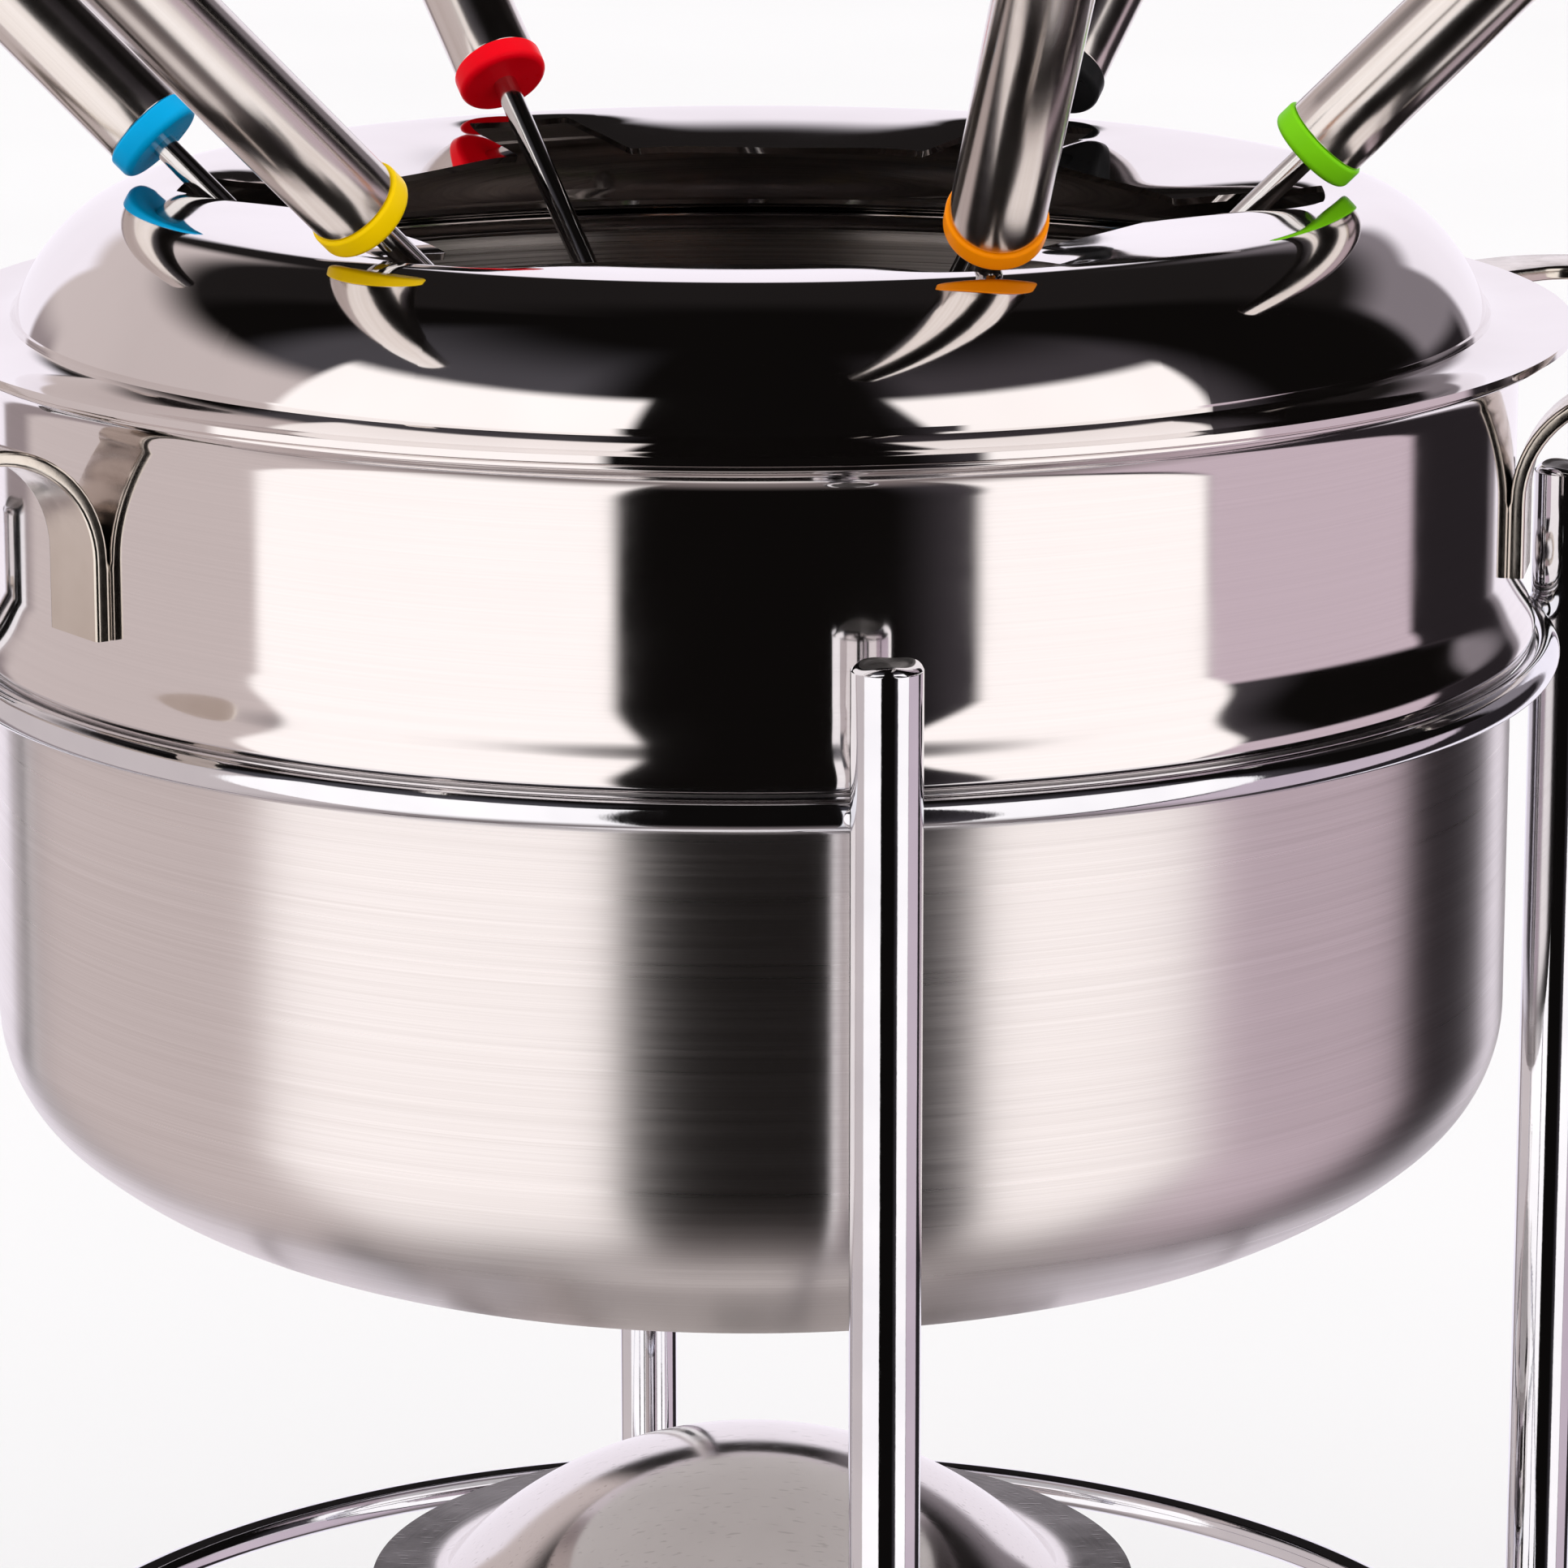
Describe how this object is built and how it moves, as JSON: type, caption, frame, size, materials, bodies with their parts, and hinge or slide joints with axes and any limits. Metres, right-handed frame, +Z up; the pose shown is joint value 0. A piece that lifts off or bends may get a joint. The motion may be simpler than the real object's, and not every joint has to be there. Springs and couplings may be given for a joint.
{
  "type": "fondue pot set",
  "caption": "Steel fondue set: a wire stand with a burner, a pot with strap handles, a pressed fork guard and colour-coded forks that slide out along their lean.",
  "frame": {"origin": "on the table under the axis of the pot and stand", "axes": "+Z up along the pot's axis, -Y towards the front, +X to the right"},
  "size_m": [0.2768, 0.2618, 0.3115],
  "materials": {
    "chrome_rod": "bright chrome plate",
    "foot_plastic": "matt moulded",
    "pot_steel": "brushed round the body, polished above the bead",
    "strap_steel": "satin, slightly warm",
    "mirror_steel": "mirror polished steel",
    "satin_tube": "satin polished",
    "fork_steel": "polished",
    "burner_steel": "satin with fine scratches",
    "fuel_wool": "loose fibre",
    "gauze_wire": "woven wire",
    "rivet_steel": "domed heads",
    "green_plastic": "glossy moulded",
    "black_plastic": "glossy moulded",
    "red_plastic": "glossy moulded",
    "blue_plastic": "glossy moulded",
    "yellow_plastic": "glossy moulded",
    "orange_plastic": "glossy moulded"
  },
  "bodies": {
    "stand": {"upper_ring": "chrome_rod", "lower_ring": "chrome_rod", "burner_ring": "chrome_rod", "leg_right": "chrome_rod", "leg_rear": "chrome_rod", "leg_left": "chrome_rod", "leg_front": "chrome_rod", "foot_cap_right": "foot_plastic", "foot_cap_rear": "foot_plastic", "foot_cap_left": "foot_plastic", "foot_cap_front": "foot_plastic", "spoke_right": "chrome_rod", "spoke_rear": "chrome_rod", "spoke_left": "chrome_rod", "spoke_front": "chrome_rod"},
    "pot": {"pot_shell": "pot_steel", "pot_handle_right": "strap_steel", "pot_handle_left": "strap_steel"},
    "guard": {"fork_guard": "mirror_steel"},
    "green_fork": {"green_fork_handle": "satin_tube", "green_fork_collar": "green_plastic", "green_fork_prongs": "fork_steel", "green_fork_cap": "satin_tube"},
    "black_fork": {"black_fork_handle": "satin_tube", "black_fork_collar": "black_plastic", "black_fork_prongs": "fork_steel", "black_fork_cap": "satin_tube"},
    "red_fork": {"red_fork_handle": "satin_tube", "red_fork_collar": "red_plastic", "red_fork_prongs": "fork_steel", "red_fork_cap": "satin_tube"},
    "blue_fork": {"blue_fork_handle": "satin_tube", "blue_fork_collar": "blue_plastic", "blue_fork_prongs": "fork_steel", "blue_fork_cap": "satin_tube"},
    "yellow_fork": {"yellow_fork_handle": "satin_tube", "yellow_fork_collar": "yellow_plastic", "yellow_fork_prongs": "fork_steel", "yellow_fork_cap": "satin_tube"},
    "orange_fork": {"orange_fork_handle": "satin_tube", "orange_fork_collar": "orange_plastic", "orange_fork_prongs": "fork_steel", "orange_fork_cap": "satin_tube"},
    "burner": {"burner_cup": "burner_steel", "fuel_pad": "fuel_wool", "gauze_disc": "gauze_wire", "cover_base": "burner_steel", "cover_posts": "burner_steel", "cover_top": "burner_steel"},
    "regulator": {"regulator_ring": "burner_steel", "regulator_handle": "burner_steel", "regulator_rivets": "rivet_steel"},
    "snuffer": {"snuffer_dome": "burner_steel", "snuffer_handle": "burner_steel", "snuffer_rivets": "rivet_steel"}
  },
  "joints": [
    {"name": "pot_lift", "type": "slide", "parent": "stand", "child": "pot", "axis": [0, 0, 1], "range_m": [0, 0.12]},
    {"name": "guard_lift", "type": "slide", "parent": "pot", "child": "guard", "axis": [0, 0, 1], "range_m": [0, 0.12]},
    {"name": "green_fork_pull", "type": "slide", "parent": "guard", "child": "green_fork", "axis": [0.6797, -0.1949, 0.7071], "range_m": [0, 0.15]},
    {"name": "black_fork_pull", "type": "slide", "parent": "guard", "child": "black_fork", "axis": [0.3887, 0.6469, 0.6561], "range_m": [0, 0.15]},
    {"name": "red_fork_pull", "type": "slide", "parent": "guard", "child": "red_fork", "axis": [-0.3597, 0.623, 0.6947], "range_m": [0, 0.15]},
    {"name": "blue_fork_pull", "type": "slide", "parent": "guard", "child": "blue_fork", "axis": [-0.7027, 0.2419, 0.6691], "range_m": [0, 0.15]},
    {"name": "yellow_fork_pull", "type": "slide", "parent": "guard", "child": "yellow_fork", "axis": [-0.5523, -0.4973, 0.6691], "range_m": [0, 0.15]},
    {"name": "orange_fork_pull", "type": "slide", "parent": "guard", "child": "orange_fork", "axis": [0.0891, -0.7259, 0.682], "range_m": [0, 0.15]},
    {"name": "burner_lift", "type": "slide", "parent": "stand", "child": "burner", "axis": [0, 0, 1], "range_m": [0, 0.014]},
    {"name": "regulator_turn", "type": "hinge", "parent": "burner", "child": "regulator", "pos_m": [0, 0, 0.054], "axis": [0, 0, 1], "range_deg": [-22.5, 22.5]},
    {"name": "snuffer_lift", "type": "slide", "parent": "burner", "child": "snuffer", "axis": [0, 0, 1], "range_m": [0, 0.014]}
  ]
}
